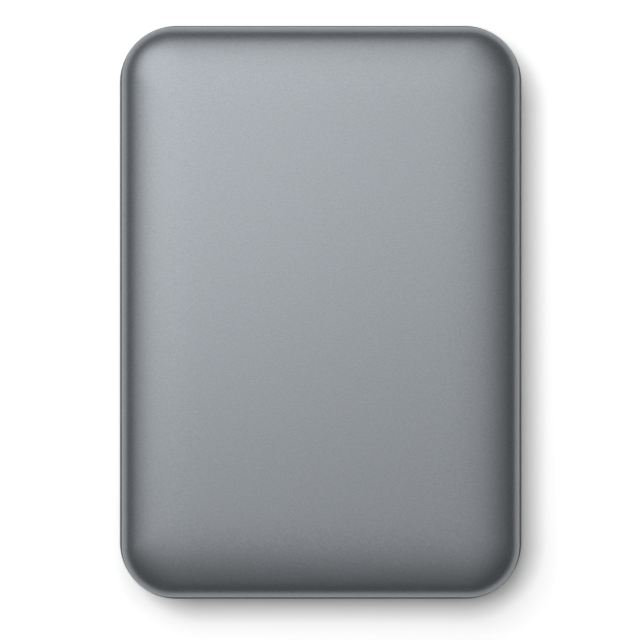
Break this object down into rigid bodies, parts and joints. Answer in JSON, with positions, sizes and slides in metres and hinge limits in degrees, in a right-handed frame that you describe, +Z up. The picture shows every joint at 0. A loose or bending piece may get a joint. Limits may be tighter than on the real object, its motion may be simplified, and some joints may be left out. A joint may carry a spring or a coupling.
{
  "type": "portable external hard drive",
  "caption": "Pocket-size external hard drive: a smooth grey pillow-shaped case holding a small disk drive and its bridge board, with one micro-B port in the rear.",
  "frame": {"origin": "middle of the footprint, on the surface that the feet stand on", "axes": "+Z up through the pictured face, +Y towards the rear with the port, +X to the right in the picture"},
  "size_m": [0.082, 0.117, 0.0148],
  "materials": {
    "case_grey": "satin metallic paint",
    "base_grey": "fine moulded texture",
    "foot_rubber": "matte",
    "boot_rubber": "matte",
    "foam": "open-cell foam",
    "foil": "bright foil",
    "bridge_green": "solder mask",
    "port_steel": "tin plated",
    "black_nylon": "moulded",
    "gold": "gold plated",
    "chip_black": "moulded epoxy",
    "ceramic": "fired ceramic",
    "led_white": "clear epoxy",
    "clear_pipe": "clear moulded",
    "screw_steel": "zinc plated",
    "cast_alloy": "die cast, machined",
    "lid_alloy": "stamped, satin",
    "gasket": "matte",
    "dark_screw": "black zinc",
    "board_blue": "solder mask",
    "bronze": "sintered",
    "stator_steel": "stacked laminations",
    "copper": "enamelled wire",
    "ground_steel": "ground",
    "hub_alloy": "turned",
    "magnet_dark": "bonded magnet",
    "disk_mirror": "mirror",
    "spring_steel": "rolled",
    "slider_ceramic": "lapped ceramic",
    "yoke_nickel": "nickel plated",
    "magnet_nickel": "nickel plated",
    "ramp_plastic": "moulded",
    "filter_cloth": "felt",
    "polyimide": "film"
  },
  "bodies": {
    "case": {"top_cover": "case_grey", "base_cover": "base_grey", "foot_front_left": "foot_rubber", "foot_front_right": "foot_rubber", "foot_rear_left": "foot_rubber", "foot_rear_right": "foot_rubber", "boot_front_left": "boot_rubber", "boot_front_right": "boot_rubber", "boot_rear_left": "boot_rubber", "boot_rear_right": "boot_rubber", "foam_pad_front": "foam", "foam_pad_rear": "foam", "shield_foil": "foil", "bridge_board": "bridge_green", "usb_shell": "port_steel", "usb_insulator": "black_nylon", "usb_contacts": "gold", "bridge_chip": "chip_black", "flash_chip": "chip_black", "bridge_passives": "ceramic", "status_led": "led_white", "light_pipe": "clear_pipe", "sata_socket": "black_nylon", "socket_legs": "gold", "bridge_screw": "screw_steel", "drive_base": "cast_alloy", "drive_lid": "lid_alloy", "lid_gasket": "gasket", "lid_screws": "dark_screw", "drive_board": "board_blue", "controller_chip": "chip_black", "motor_chip": "chip_black", "board_screws": "dark_screw", "sata_plug": "black_nylon", "sata_contacts": "gold", "bearing_sleeve": "bronze", "motor_stator": "stator_steel", "stator_coils": "copper", "pivot_shaft": "ground_steel", "pivot_bearings": "ground_steel", "lower_yoke": "yoke_nickel", "upper_yoke": "yoke_nickel", "lower_magnet": "magnet_nickel", "upper_magnet": "magnet_nickel", "load_ramp": "ramp_plastic", "air_filter": "filter_cloth", "flex_cable": "polyimide"},
    "spindle": {"spindle_shaft": "ground_steel", "spindle_hub": "hub_alloy", "rotor_magnet": "magnet_dark", "platter": "disk_mirror", "disk_clamp": "spring_steel", "clamp_screw": "dark_screw"},
    "actuator": {"pivot_sleeve": "hub_alloy", "arm_block": "hub_alloy", "voice_coil": "copper", "suspension_lower": "spring_steel", "suspension_upper": "spring_steel", "head_sliders": "slider_ceramic"}
  },
  "joints": [
    {"name": "spindle_spin", "type": "hinge", "parent": "case", "child": "spindle", "pos_m": [0, -0.01827, 0.006], "axis": [0, 0, 1], "continuous": true},
    {"name": "actuator_swing", "type": "hinge", "parent": "case", "child": "actuator", "pos_m": [0.0185, 0.01922, 0.006], "axis": [0, 0, 1], "range_deg": [0, 34]}
  ]
}
